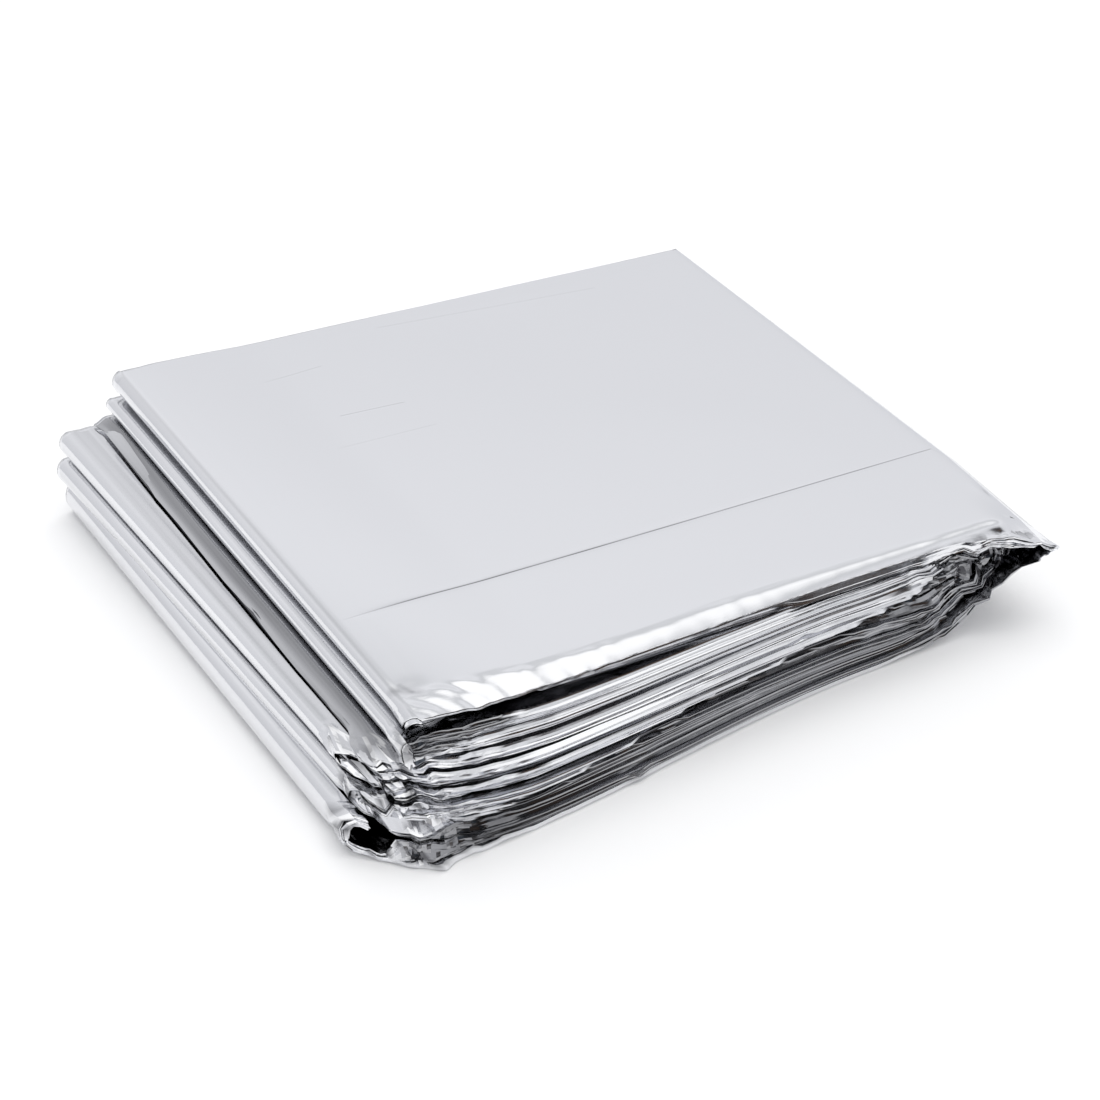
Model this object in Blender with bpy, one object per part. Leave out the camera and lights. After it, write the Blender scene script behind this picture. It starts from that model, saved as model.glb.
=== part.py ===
"""Folded emergency foil blanket: one metallised film sheet in its folded packet.

The sheet is first folded into a long flat strip of plies. The strip goes back and forth
five times and is then folded once in half at the right, so that ten layers lie on each
other. The solid is that strip as one back-and-forth section, a little apart.

Units are metres, +Z up, +X to the right along the front edge, +Y to the back.
The tables are in millimetres, measured from the packet's front left corner on the floor.
"""
import math

import bmesh
import bpy
import numpy as np

for old in list(bpy.data.objects):
    bpy.data.objects.remove(old, do_unlink=True)

MM = 0.001

# Strip: fuller in the middle of the packet, pressed thinner at the folds
FOLD_THICKNESS = 1.5
MIDDLE_THICKNESS = 1.85
TURN_THICKNESS = 1.5
FULL_FROM_X = 12.0
FULL_AT_X = 34.0
FULL_TO_X = 66.0
THIN_AT_X = 94.0
DEPTH = 131.0

# Upper face of the packet: highest at the back left, lowest at the front right
TOP_FRONT_LEFT = 26.4
TOP_FALL_TO_RIGHT = 0.0256
TOP_RISE_TO_BACK = 0.0270

# Underside: flat on the floor, and lifted towards the fold at the right
LIFT_START_X = 100.0
LIFT_END_X = 138.5
LIFT_FRONT = 10.5
LIFT_BACK = 6.0

# Pitch of the layers in the middle of the packet and close to the fold at the right
UPPER_PITCH = 2.4
LOWER_PITCH = 3.0
TIGHT_PITCH = 1.95
TIGHT_START_X = 96.0
TIGHT_END_X = 122.0

# Laps from the outermost to the innermost: x of the turn at the right, and its length
TURN_X = (139.0, 136.4, 133.4, 129.2, 123.2)
TURN_LENGTH = (3.4, 3.0, 2.6, 2.2, 1.6)
# The turns are squarer above, and furthest out above the middle
TURN_SQUARE = 0.7
TURN_HIGH = 0.62

# Left folds, each with its front and back values:
# name, nose x front, nose x back, upper face z front, back, lower face z front, back
LEFT_FOLDS = {
    "upper_1": (3.0, -4.3, 26.4, 30.6, 22.5, 25.4),
    "upper_2": (1.2, -6.2, 22.1, 25.0, 18.7, 21.6),
    "lower_1": (-5.3, -17.4, 16.5, 19.6, 12.4, 13.8),
    "lower_2": (-6.4, -18.9, 12.05, 13.45, 8.2, 7.6),
}
# Inner end of the strip, lying in the valley on the lower folds: x and middle z
INNER_END = {"x": (-2.0, -9.2), "z": (17.6, 20.65)}
# Outer end of the strip, turned up from the floor: outer x, top z, radius of the turn,
# and the curled lip, as steps in from the outer x and down from the top
OUTER_END = {"x": (-9.0, -17.9), "top": (7.05, 6.4), "radius": 2.4}
OUTER_LIP = ((0.05, 1.9), (0.45, 0.8), (1.3, 0.15), (2.6, 0.0))
SETTLE_LENGTH = 30.0

# Front and back edges of the ten layers, counted from the top down:
# front y at the left, front y at the right, chamfer of the left corner, back y
EDGES = (
    (1.0, 3.4, 0.0, 131.6),
    (6.0, 4.6, 0.5, 130.8),
    (1.6, 4.0, 0.5, 130.4),
    (0.4, 3.8, 1.0, 131.2),
    (-0.6, 3.4, 22.0, 130.2),
    (-1.8, 3.2, 25.0, 131.0),
    (-2.8, 2.6, 19.0, 130.5),
    (-4.0, 2.4, 15.0, 131.3),
    (-4.6, 2.8, 13.0, 130.6),
    (-6.0, 1.8, 11.5, 131.0),
)
CHAMFER_START_X = 4.0
CHAMFER_LENGTH = 12.0
CHAMFER_CURVE = 1.5
EDGE_LEFT_X = 10.0
EDGE_RIGHT_X = 100.0
TIP_START_X = 118.0
TIP_FORWARD = 4.5

# Layers in the order in which the strip runs through them, counted from the top down
STRIP_ORDER = (4, 5, 6, 3, 2, 7, 8, 1, 0, 9)
TOP_LAYER = 0
FLOOR_LAYER = 9

# Rim of the uppermost layer, turned down along the front edge
RIM_WIDTH = 6.0
RIM_DROP = 1.7
RIM_START_X = 4.0
RIM_FULL_X = 16.0

FILM_COLOUR = (0.83, 0.84, 0.87, 1.0)
FILM_ROUGHNESS = 0.22

# Mesh
SETTLE_STEPS = (0.0, 0.16, 0.36, 0.6, 1.0)
SHARED_X = (58.0, 86.0, 96.0, 104.0, 111.0, 117.0, 122.0, 126.5, 130.0)
SHARED_MARGIN = 1.2
DEPTH_STEPS = (0.0, 0.016, 0.045, 0.13, 0.33, 0.66, 0.92, 1.0)
FOLD_POINTS = 6
TURN_POINTS = 8
OUTER_END_POINTS = 4
MITRE_LIMIT = 0.7

# Middle of the packet's footprint, which becomes the origin
ORIGIN_X = 60.04
ORIGIN_Y = 62.8


def smooth(value):
    """Soft step from 0 to 1."""
    value = min(1.0, max(0.0, value))
    return value * value * (3.0 - 2.0 * value)


def along_depth(pair, y):
    """Value that changes evenly from the front to the back."""
    return pair[0] + (pair[1] - pair[0]) * y / DEPTH


def thickness(x):
    """Thickness of the strip at x."""
    if x < FULL_TO_X:
        share = smooth((x - FULL_FROM_X) / (FULL_AT_X - FULL_FROM_X))
        return FOLD_THICKNESS + (MIDDLE_THICKNESS - FOLD_THICKNESS) * share
    share = smooth((x - FULL_TO_X) / (THIN_AT_X - FULL_TO_X))
    return MIDDLE_THICKNESS + (TURN_THICKNESS - MIDDLE_THICKNESS) * share


def top_z(x, y):
    return TOP_FRONT_LEFT - TOP_FALL_TO_RIGHT * max(x, 0.0) + TOP_RISE_TO_BACK * y


def lift_z(x, y):
    """Height of the packet's underside, and its slope along X."""
    share = min(1.0, max(0.0, (x - LIFT_START_X) / (LIFT_END_X - LIFT_START_X)))
    full = along_depth((LIFT_FRONT, LIFT_BACK), y)
    return full * share * share, 2.0 * full * share / (LIFT_END_X - LIFT_START_X)


def pitches(x):
    """Upper and lower pitch of the layers at x."""
    tight = smooth((x - TIGHT_START_X) / (TIGHT_END_X - TIGHT_START_X))
    upper = UPPER_PITCH + (TIGHT_PITCH - UPPER_PITCH) * tight
    lower = LOWER_PITCH + (TIGHT_PITCH - LOWER_PITCH) * tight
    return upper, lower


def layer_z(lap, side, x, y):
    """Middle height of one layer away from the folds. Lap 0 is the outermost."""
    upper, lower = pitches(x)
    scale = top_z(x, y) / TOP_FRONT_LEFT
    if side == "upper":
        return top_z(x, y) - thickness(x) / 2 - lap * upper * max(scale, TIGHT_PITCH / upper)
    lift, slope = lift_z(x, y)
    steep = math.sqrt(1.0 + slope * slope)
    return lift + (thickness(x) / 2 + lap * lower * max(scale, TIGHT_PITCH / lower)) * steep


def fold_shape(name, y):
    """Nose x, middle height of the upper and the lower layer, and radius of a left fold."""
    nose_front, nose_back, up_front, up_back, low_front, low_back = LEFT_FOLDS[name]
    nose = along_depth((nose_front, nose_back), y) + FOLD_THICKNESS / 2
    high = along_depth((up_front, up_back), y) - FOLD_THICKNESS / 2
    low = along_depth((low_front, low_back), y) + FOLD_THICKNESS / 2
    return nose, high, low, (high - low) / 2


def turn_shape(lap, y):
    """Centre x and the heights at which a lap starts and ends its turn at the right."""
    centre = TURN_X[lap] - TURN_THICKNESS / 2 - TURN_LENGTH[lap]
    return centre, layer_z(lap, "upper", centre, y), layer_z(lap, "lower", centre, y)


def shared_knots(lap):
    """The x positions that all layers have in common, up to where the lap starts to turn."""
    centre = TURN_X[lap] - TURN_THICKNESS / 2 - TURN_LENGTH[lap]
    return [x for x in SHARED_X if x < centre - SHARED_MARGIN] + [centre]


def run(lap, side, left_x, left_z, y):
    """One layer from its left end to its turn at the right."""
    points = []
    for x in [left_x + SETTLE_LENGTH * step for step in SETTLE_STEPS] + shared_knots(lap):
        settle = smooth((x - left_x) / SETTLE_LENGTH)
        points.append((x, left_z + (layer_z(lap, side, x, y) - left_z) * settle))
    return points


def left_fold(name, y):
    """Points round a left fold, from its upper to its lower layer."""
    nose, high, low, radius = fold_shape(name, y)
    middle = (high + low) / 2
    points = []
    for k in range(1, FOLD_POINTS):
        angle = math.pi * k / FOLD_POINTS
        points.append((nose + radius - radius * math.sin(angle), middle + radius * math.cos(angle)))
    return points


def right_turn(lap, y):
    """Points round a turn at the right, from the upper to the lower layer."""
    centre, high, low = turn_shape(lap, y)
    outermost = low + (high - low) * TURN_HIGH
    points = []
    for k in range(1, TURN_POINTS):
        angle = math.pi * k / TURN_POINTS
        upper = angle < math.pi / 2
        reach = math.sin(angle) ** (TURN_SQUARE if upper else 1.0)
        rise = (high - outermost if upper else outermost - low) * math.cos(angle)
        points.append((centre + TURN_LENGTH[lap] * reach, outermost + rise))
    return points


def outer_end(y):
    """Points of the strip's outer end, from the floor up."""
    radius = OUTER_END["radius"]
    x = along_depth(OUTER_END["x"], y) + FOLD_THICKNESS / 2
    top = along_depth(OUTER_END["top"], y)
    floor = FOLD_THICKNESS / 2
    points = []
    for k in range(1, OUTER_END_POINTS + 1):
        angle = math.pi / 2 * k / OUTER_END_POINTS
        points.append((x + radius - radius * math.sin(angle), floor + radius - radius * math.cos(angle)))
    points += [(x + inward, top - below) for inward, below in OUTER_LIP]
    return points


def centre_line(y):
    """The strip's middle line in the upright section at depth y, from its inner end."""
    inner = (along_depth(INNER_END["x"], y), along_depth(INNER_END["z"], y))
    nose, high, low, radius = {}, {}, {}, {}
    for name in LEFT_FOLDS:
        nose[name], high[name], low[name], radius[name] = fold_shape(name, y)
    start = {name: nose[name] + radius[name] for name in LEFT_FOLDS}
    floor_x = along_depth(OUTER_END["x"], y) + FOLD_THICKNESS / 2 + OUTER_END["radius"]
    line = run(4, "upper", inner[0], inner[1], y)
    line += right_turn(4, y)
    line += run(4, "lower", start["lower_1"], high["lower_1"], y)[::-1]
    line += left_fold("lower_1", y)
    line += run(3, "lower", start["lower_1"], low["lower_1"], y)
    line += right_turn(3, y)[::-1]
    line += run(3, "upper", start["upper_2"], low["upper_2"], y)[::-1]
    line += left_fold("upper_2", y)[::-1]
    line += run(2, "upper", start["upper_2"], high["upper_2"], y)
    line += right_turn(2, y)
    line += run(2, "lower", start["lower_2"], high["lower_2"], y)[::-1]
    line += left_fold("lower_2", y)
    line += run(1, "lower", start["lower_2"], low["lower_2"], y)
    line += right_turn(1, y)[::-1]
    line += run(1, "upper", start["upper_1"], low["upper_1"], y)[::-1]
    line += left_fold("upper_1", y)[::-1]
    line += run(0, "upper", start["upper_1"], high["upper_1"], y)
    line += right_turn(0, y)
    line += run(0, "lower", floor_x, FOLD_THICKNESS / 2, y)[::-1]
    line += outer_end(y)
    return np.array(line)


def edge_rows():
    """For each point of the strip, the layer before it, the layer after it and its share."""
    rows = []
    for place, layer in enumerate(STRIP_ORDER):
        if place > 0:
            before = STRIP_ORDER[place - 1]
            points = TURN_POINTS if place % 2 else FOLD_POINTS
            rows += [(before, layer, k / points) for k in range(1, points)]
        lap = min(layer, FLOOR_LAYER - layer)
        rows += [(layer, layer, 0.0)] * (len(SETTLE_STEPS) + len(shared_knots(lap)))
    rows += [(FLOOR_LAYER, FLOOR_LAYER, 0.0)] * len(outer_end(0.0))
    return rows


def front_edge(row, x):
    left, right, chamfer, _ = EDGES[row]
    share = smooth((x - EDGE_LEFT_X) / (EDGE_RIGHT_X - EDGE_LEFT_X))
    cut = max(0.0, (CHAMFER_START_X - x) / CHAMFER_LENGTH)
    return left + (right - left) * share + chamfer * min(1.0, cut) ** CHAMFER_CURVE


def offset_sides(line):
    """The two faces of the strip, half its thickness off the middle line."""
    step = np.diff(line, axis=0)
    step /= np.linalg.norm(step, axis=1)[:, None]
    before = np.vstack([step[:1], step])
    after = np.vstack([step, step[-1:]])
    tangent = before + after
    tangent /= np.linalg.norm(tangent, axis=1)[:, None]
    normal = np.stack([-tangent[:, 1], tangent[:, 0]], axis=1)
    half = np.array([thickness(x) / 2 for x, _ in line])
    reach = half / np.maximum(MITRE_LIMIT, (tangent * before).sum(axis=1))
    return line + normal * reach[:, None], line - normal * reach[:, None]


def rim_drop(x, y, front):
    """How far the uppermost layer is turned down near its front edge."""
    near = max(0.0, 1.0 - (y - front) / RIM_WIDTH)
    return RIM_DROP * near * near * smooth((x - RIM_START_X) / (RIM_FULL_X - RIM_START_X))


def strip_grid():
    """Points of the strip's two faces, by face, by point of the strip and by depth."""
    rows = edge_rows()
    base = centre_line(0.0)
    grid = np.zeros((2, len(base), len(DEPTH_STEPS), 3))
    for index, (first, second, share) in enumerate(rows):
        x = base[index][0]
        front = front_edge(first, x) * (1 - share) + front_edge(second, x) * share
        back = EDGES[first][3] * (1 - share) + EDGES[second][3] * share
        if {first, second} <= {TOP_LAYER, FLOOR_LAYER}:
            tip = max(0.0, (x - TIP_START_X) / (TURN_X[0] - TIP_START_X))
            front -= TIP_FORWARD * tip * tip
        for level, step in enumerate(DEPTH_STEPS):
            y = front + (back - front) * step
            sides = offset_sides(centre_line(y))
            drop = rim_drop(x, y, front) if first == second == TOP_LAYER else 0.0
            for face in range(2):
                px, pz = sides[face][index]
                grid[face, index, level] = (px, y, pz - drop)
    return grid


def strip_mesh(grid):
    """One closed body from the two faces, joined round all four sides."""
    _, count, depth, _ = grid.shape
    mesh = bmesh.new()
    shift = np.array([ORIGIN_X, ORIGIN_Y, 0.0])
    verts = [[[mesh.verts.new((grid[f, i, j] - shift) * MM) for j in range(depth)]
              for i in range(count)] for f in range(2)]

    def quad(a, b, c, d):
        mesh.faces.new((a, b, c, d))

    for i in range(count - 1):
        for j in range(depth - 1):
            quad(verts[0][i][j], verts[0][i + 1][j], verts[0][i + 1][j + 1], verts[0][i][j + 1])
            quad(verts[1][i][j], verts[1][i][j + 1], verts[1][i + 1][j + 1], verts[1][i + 1][j])
        quad(verts[0][i][0], verts[1][i][0], verts[1][i + 1][0], verts[0][i + 1][0])
        quad(verts[0][i][-1], verts[0][i + 1][-1], verts[1][i + 1][-1], verts[1][i][-1])
    for j in range(depth - 1):
        quad(verts[0][0][j], verts[0][0][j + 1], verts[1][0][j + 1], verts[1][0][j])
        quad(verts[0][-1][j], verts[1][-1][j], verts[1][-1][j + 1], verts[0][-1][j + 1])
    bmesh.ops.triangulate(mesh, faces=mesh.faces[:])
    bmesh.ops.recalc_face_normals(mesh, faces=mesh.faces[:])
    if mesh.calc_volume(signed=True) < 0:
        bmesh.ops.reverse_faces(mesh, faces=mesh.faces[:])
    data = bpy.data.meshes.new("foil_sheet")
    mesh.to_mesh(data)
    mesh.free()
    return data


def film_material():
    material = bpy.data.materials.new("metallised_film")
    material.use_nodes = True
    shader = material.node_tree.nodes["Principled BSDF"]
    shader.inputs["Base Color"].default_value = FILM_COLOUR
    shader.inputs["Metallic"].default_value = 1.0
    shader.inputs["Roughness"].default_value = FILM_ROUGHNESS
    return material


sheet = bpy.data.objects.new("foil_sheet", strip_mesh(strip_grid()))
sheet.data.materials.append(film_material())
bpy.context.scene.collection.objects.link(sheet)
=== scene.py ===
"""Looks of the folded emergency foil blanket: one thin sheet of metallised film on the solid's folds.

The film runs through the strip's section as ten plies, joined in turn at the front and at the back.
Lengths are in millimetres in the tables, from the packet's front left corner on the floor.
"""

import math
from collections import namedtuple

import bpy
import numpy as np
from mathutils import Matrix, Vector


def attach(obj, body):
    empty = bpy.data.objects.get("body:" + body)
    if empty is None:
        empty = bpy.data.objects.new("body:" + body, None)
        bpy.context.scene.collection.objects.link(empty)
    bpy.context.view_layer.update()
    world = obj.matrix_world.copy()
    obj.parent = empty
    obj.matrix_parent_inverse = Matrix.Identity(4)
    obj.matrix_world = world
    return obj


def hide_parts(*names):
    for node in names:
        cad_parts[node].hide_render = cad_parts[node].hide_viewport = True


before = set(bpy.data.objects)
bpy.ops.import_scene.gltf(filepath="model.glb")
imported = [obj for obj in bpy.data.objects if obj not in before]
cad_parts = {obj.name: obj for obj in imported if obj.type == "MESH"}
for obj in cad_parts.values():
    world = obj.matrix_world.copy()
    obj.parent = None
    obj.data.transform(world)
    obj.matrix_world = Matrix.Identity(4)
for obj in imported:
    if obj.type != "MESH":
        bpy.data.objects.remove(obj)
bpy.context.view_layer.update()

MM = 0.001

# Strip, as in the solid
FOLD_THICKNESS = 1.5
MIDDLE_THICKNESS = 1.85
TURN_THICKNESS = 1.5
FULL_FROM_X = 12.0
FULL_AT_X = 34.0
FULL_TO_X = 66.0
THIN_AT_X = 94.0
DEPTH = 131.0
TOP_FRONT_LEFT = 26.4
TOP_FALL_TO_RIGHT = 0.0256
TOP_RISE_TO_BACK = 0.0270
LIFT_START_X = 100.0
LIFT_END_X = 138.5
LIFT_FRONT = 10.5
LIFT_BACK = 6.0
UPPER_PITCH = 2.4
LOWER_PITCH = 3.0
TIGHT_PITCH = 1.95
TIGHT_START_X = 96.0
TIGHT_END_X = 122.0
TURN_X = (139.0, 136.4, 133.4, 129.2, 123.2)
TURN_LENGTH = (3.4, 3.0, 2.6, 2.2, 1.6)
TURN_SQUARE = 0.7
TURN_HIGH = 0.62
LEFT_FOLDS = {
    "upper_1": (3.0, -4.3, 26.4, 30.6, 22.5, 25.4),
    "upper_2": (1.2, -6.2, 22.1, 25.0, 18.7, 21.6),
    "lower_1": (-5.3, -17.4, 16.5, 19.6, 12.4, 13.8),
    "lower_2": (-6.4, -18.9, 12.05, 13.45, 8.2, 7.6),
}
INNER_END = {"x": (-2.0, -9.2), "z": (17.6, 20.65)}
OUTER_END = {"x": (-9.0, -17.9), "top": (7.05, 6.4), "radius": 2.4}
OUTER_LIP = ((0.05, 1.9), (0.45, 0.8), (1.3, 0.15), (2.6, 0.0))
SETTLE_LENGTH = 30.0
EDGES = (
    (1.0, 3.4, 0.0, 131.6),
    (6.0, 4.6, 0.5, 130.8),
    (1.6, 4.0, 0.5, 130.4),
    (0.4, 3.8, 1.0, 131.2),
    (-0.6, 3.4, 22.0, 130.2),
    (-1.8, 3.2, 25.0, 131.0),
    (-2.8, 2.6, 19.0, 130.5),
    (-4.0, 2.4, 15.0, 131.3),
    (-4.6, 2.8, 13.0, 130.6),
    (-6.0, 1.8, 11.5, 131.0),
)
CHAMFER_START_X = 4.0
CHAMFER_LENGTH = 12.0
CHAMFER_CURVE = 1.5
EDGE_LEFT_X = 10.0
EDGE_RIGHT_X = 100.0
TIP_START_X = 118.0
TIP_FORWARD = 4.5
RIM_DROP = 1.7
RIM_START_X = 4.0
RIM_FULL_X = 16.0
STRIP_ORDER = (4, 5, 6, 3, 2, 7, 8, 1, 0, 9)
ORIGIN = np.array((60.04, 62.8, 0.0))

# Film: plies in one layer of the strip, and how closely they fill it
PLIES = 10
# Fold edges of one layer at the front
NOSES = PLIES // 2
FILL = 0.96
INNER_FILL = 0.4

# Sampling along the strip and across the sheet
Y_LEVELS = (-9.0, 0.0, 9.0, 24.0, 45.0, 66.0, 88.0, 110.0, 124.0, 134.0)
FOLD_POINTS = 12
TURN_POINTS = 14
TOP_LAYER = 0
FLOOR_LAYER = 9
# Turns lie right of this x and the left folds left of it
TURNS_FROM_X = 60.0
# Left of these x the shown plies are sampled more closely, the second near the front edge alone
LIPS_TO_X = 24.0
CORNER_TO_X = 8.0
CORNER_DEPTH = 16.0
LEAST_HEIGHT = 0.03


def unit(value):
    return np.clip(value, 0.0, 1.0)


def smooth(value):
    value = unit(value)
    return value * value * (3.0 - 2.0 * value)


def rise(value, start, length):
    """Soft step from 0 at start to 1 one length further on. A negative length runs the other way."""
    return smooth((value - start) / length)


def wander(position, spacing, seed):
    """Smooth random line from -1 to 1 with one free value every spacing."""
    values = np.random.default_rng(seed).uniform(-1.0, 1.0, 512)
    place = np.asarray(position, float) / spacing + 100.0
    whole = np.floor(place).astype(int)
    share = smooth(place - whole)
    return values[whole % 512] * (1.0 - share) + values[(whole + 1) % 512] * share


def crumple(across, along, cell_across, cell_along, seed):
    """Faceted random heights from -1 to 1 on a sheared lattice of triangles."""
    heights = np.random.default_rng(seed).uniform(-1.0, 1.0, (97, 97))
    b = np.asarray(along, float) / cell_along + 400.0
    a = np.asarray(across, float) / cell_across + 400.0 + 0.37 * b
    whole_a = np.floor(a).astype(int)
    whole_b = np.floor(b).astype(int)
    part_a = a - whole_a
    part_b = b - whole_b

    def at(step_a, step_b):
        return heights[(whole_a + step_a) % 97, (whole_b + step_b) % 97]

    low = at(0, 0) + (at(1, 0) - at(0, 0)) * part_a + (at(0, 1) - at(0, 0)) * part_b
    high = at(1, 1) + (at(0, 1) - at(1, 1)) * (1 - part_a) + (at(1, 0) - at(1, 1)) * (1 - part_b)
    return np.where(part_a + part_b < 1.0, low, high)


def along_depth(pair, y):
    return pair[0] + (pair[1] - pair[0]) * y / DEPTH


def thickness(x):
    left = rise(x, FULL_FROM_X, FULL_AT_X - FULL_FROM_X)
    right = rise(x, FULL_TO_X, THIN_AT_X - FULL_TO_X)
    return FOLD_THICKNESS + (MIDDLE_THICKNESS - FOLD_THICKNESS) * left * (1.0 - right)


def top_z(x, y):
    return TOP_FRONT_LEFT - TOP_FALL_TO_RIGHT * np.maximum(x, 0.0) + TOP_RISE_TO_BACK * y


def pitches(x):
    tight = rise(x, TIGHT_START_X, TIGHT_END_X - TIGHT_START_X)
    upper = UPPER_PITCH + (TIGHT_PITCH - UPPER_PITCH) * tight
    lower = LOWER_PITCH + (TIGHT_PITCH - LOWER_PITCH) * tight
    return upper, lower


def layer_z(lap, side, x, y):
    """Middle height of one layer away from the folds. Lap 0 is the outermost."""
    upper, lower = pitches(x)
    scale = top_z(x, y) / TOP_FRONT_LEFT
    if side == "upper":
        return top_z(x, y) - thickness(x) / 2 - lap * upper * np.maximum(scale, TIGHT_PITCH / upper)
    share = unit((x - LIFT_START_X) / (LIFT_END_X - LIFT_START_X))
    full = along_depth((LIFT_FRONT, LIFT_BACK), y)
    slope = 2.0 * full * share / (LIFT_END_X - LIFT_START_X)
    rise = thickness(x) / 2 + lap * lower * np.maximum(scale, TIGHT_PITCH / lower)
    return full * share * share + rise * np.sqrt(1.0 + slope * slope)


def fold_shape(name, y):
    """Nose x, middle height of the upper and the lower layer, and radius of a left fold."""
    nose_front, nose_back, up_front, up_back, low_front, low_back = LEFT_FOLDS[name]
    nose = along_depth((nose_front, nose_back), y) + FOLD_THICKNESS / 2
    high = along_depth((up_front, up_back), y) - FOLD_THICKNESS / 2
    low = along_depth((low_front, low_back), y) + FOLD_THICKNESS / 2
    return nose, high, low, (high - low) / 2


def turn_centre(lap):
    return TURN_X[lap] - TURN_THICKNESS / 2 - TURN_LENGTH[lap]


def run(lap, side, left_x, left_z, y, shares):
    """One layer from its left end to its turn at the right."""
    x = left_x + (turn_centre(lap) - left_x) * shares
    settle = rise(x, left_x, SETTLE_LENGTH)
    z = left_z + (layer_z(lap, side, x, y) - left_z) * settle
    return np.stack([x, z], axis=1)


def left_fold(name, y):
    nose, high, low, radius = fold_shape(name, y)
    angle = math.pi * np.arange(1, FOLD_POINTS) / FOLD_POINTS
    x = nose + radius - radius * np.sin(angle)
    return np.stack([x, (high + low) / 2 + radius * np.cos(angle)], axis=1)


def right_turn(lap, y):
    centre = turn_centre(lap)
    high = layer_z(lap, "upper", centre, y)
    low = layer_z(lap, "lower", centre, y)
    outermost = low + (high - low) * TURN_HIGH
    angle = math.pi * np.arange(1, TURN_POINTS) / TURN_POINTS
    upper = angle < math.pi / 2
    reach = np.sin(angle) ** np.where(upper, TURN_SQUARE, 1.0)
    rise = np.where(upper, high - outermost, outermost - low) * np.cos(angle)
    return np.stack([centre + TURN_LENGTH[lap] * reach, outermost + rise], axis=1)


def outer_end(y):
    radius = OUTER_END["radius"]
    x = along_depth(OUTER_END["x"], y) + FOLD_THICKNESS / 2
    top = along_depth(OUTER_END["top"], y)
    floor = FOLD_THICKNESS / 2
    angle = math.pi / 2 * np.arange(1, 9) / 8
    bend = np.stack([x + radius - radius * np.sin(angle), floor + radius - radius * np.cos(angle)], axis=1)
    lip = [(x + inward, top - below) for inward, below in OUTER_LIP]
    return np.vstack([bend, lip])


def left_start(layer, y):
    """Where a layer starts at the left: x and middle height."""
    for name, upper, lower in (("lower_1", 5, 6), ("upper_2", 2, 3), ("lower_2", 7, 8), ("upper_1", 0, 1)):
        nose, high, low, radius = fold_shape(name, y)
        if layer in (upper, lower):
            return nose + radius, high if layer == upper else low
    if layer == FLOOR_LAYER:
        return along_depth(OUTER_END["x"], y) + FOLD_THICKNESS / 2 + OUTER_END["radius"], FOLD_THICKNESS / 2
    return along_depth(INNER_END["x"], y), along_depth(INNER_END["z"], y)


FOLD_AFTER = {5: "lower_1", 3: "upper_2", 7: "lower_2", 1: "upper_1"}
# Shares of a layer's length at which it is sampled: closer at the left, and closest in the top layer
LAYER_SHARES = np.concatenate([np.linspace(0.0, 0.09, 22)[:-1], np.linspace(0.09, 0.28, 19)[:-1],
                               np.linspace(0.28, 0.84, 30)[:-1], np.linspace(0.84, 1.0, 14)])
TOP_SHARES = np.concatenate([np.linspace(0.0, 0.30, 56)[:-1], np.linspace(0.30, 1.0, 76)])


def shares_of(layer):
    return TOP_SHARES if layer == TOP_LAYER else LAYER_SHARES


def centre_line(y):
    """The strip's middle line in the upright section at depth y, from its inner end."""
    line = []
    for place, layer in enumerate(STRIP_ORDER):
        lap = min(layer, FLOOR_LAYER - layer)
        side = "upper" if layer <= 4 else "lower"
        x, z = left_start(layer, y)
        points = run(lap, side, x, z, y, shares_of(layer))
        eastward = place % 2 == 0
        line.append(points if eastward else points[::-1])
        if layer == FLOOR_LAYER:
            line.append(outer_end(y))
        elif eastward:
            turn = right_turn(lap, y)
            line.append(turn if side == "upper" else turn[::-1])
        else:
            name = FOLD_AFTER[layer]
            fold = left_fold(name, y)
            line.append(fold[::-1] if name.startswith("upper") else fold)
    return np.vstack(line)


def row_layers():
    """For each row of the strip, the layer before it, the layer after it and its share."""
    rows = []
    for place, layer in enumerate(STRIP_ORDER):
        rows += [(layer, layer, 0.0)] * len(shares_of(layer))
        if layer == FLOOR_LAYER:
            rows += [(layer, layer, 0.0)] * len(outer_end(0.0))
        else:
            points = TURN_POINTS if place % 2 == 0 else FOLD_POINTS
            rows += [(layer, STRIP_ORDER[place + 1], k / points) for k in range(1, points)]
    return rows


class Strip:
    """The strip's middle line and its normals at several depths, and the edges of each row."""

    def __init__(self):
        self.lines = np.array([centre_line(y) for y in Y_LEVELS])
        step = np.gradient(self.lines, axis=1)
        step /= np.linalg.norm(step, axis=2)[:, :, None]
        self.normals = np.stack([-step[:, :, 1], step[:, :, 0]], axis=2)
        rows = row_layers()
        self.first = np.array([row[0] for row in rows])
        self.second = np.array([row[1] for row in rows])
        self.share = np.array([row[2] for row in rows])
        self.count = len(rows)
        self.x = self.lines[1, :, 0]
        gaps = np.linalg.norm(np.diff(self.lines[5], axis=0), axis=1)
        self.path = np.concatenate([[0.0], np.cumsum(gaps)])
        self.flat = self.first == self.second
        self.half = thickness(self.x) / 2

    def at(self, y):
        """Middle point and normal of every row, each at its own depth."""
        y = np.clip(y, Y_LEVELS[0], Y_LEVELS[-1])
        level = np.clip(np.searchsorted(Y_LEVELS, y) - 1, 0, len(Y_LEVELS) - 2)
        lows = np.array(Y_LEVELS)[level]
        share = ((y - lows) / (np.array(Y_LEVELS)[level + 1] - lows))[:, None]
        row = np.arange(self.count)
        point = self.lines[level, row] * (1 - share) + self.lines[level + 1, row] * share
        normal = self.normals[level, row] * (1 - share) + self.normals[level + 1, row] * share
        return point, normal / np.linalg.norm(normal, axis=1)[:, None]


strip = Strip()
IN_TOP = strip.flat & (strip.first == TOP_LAYER)
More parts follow.
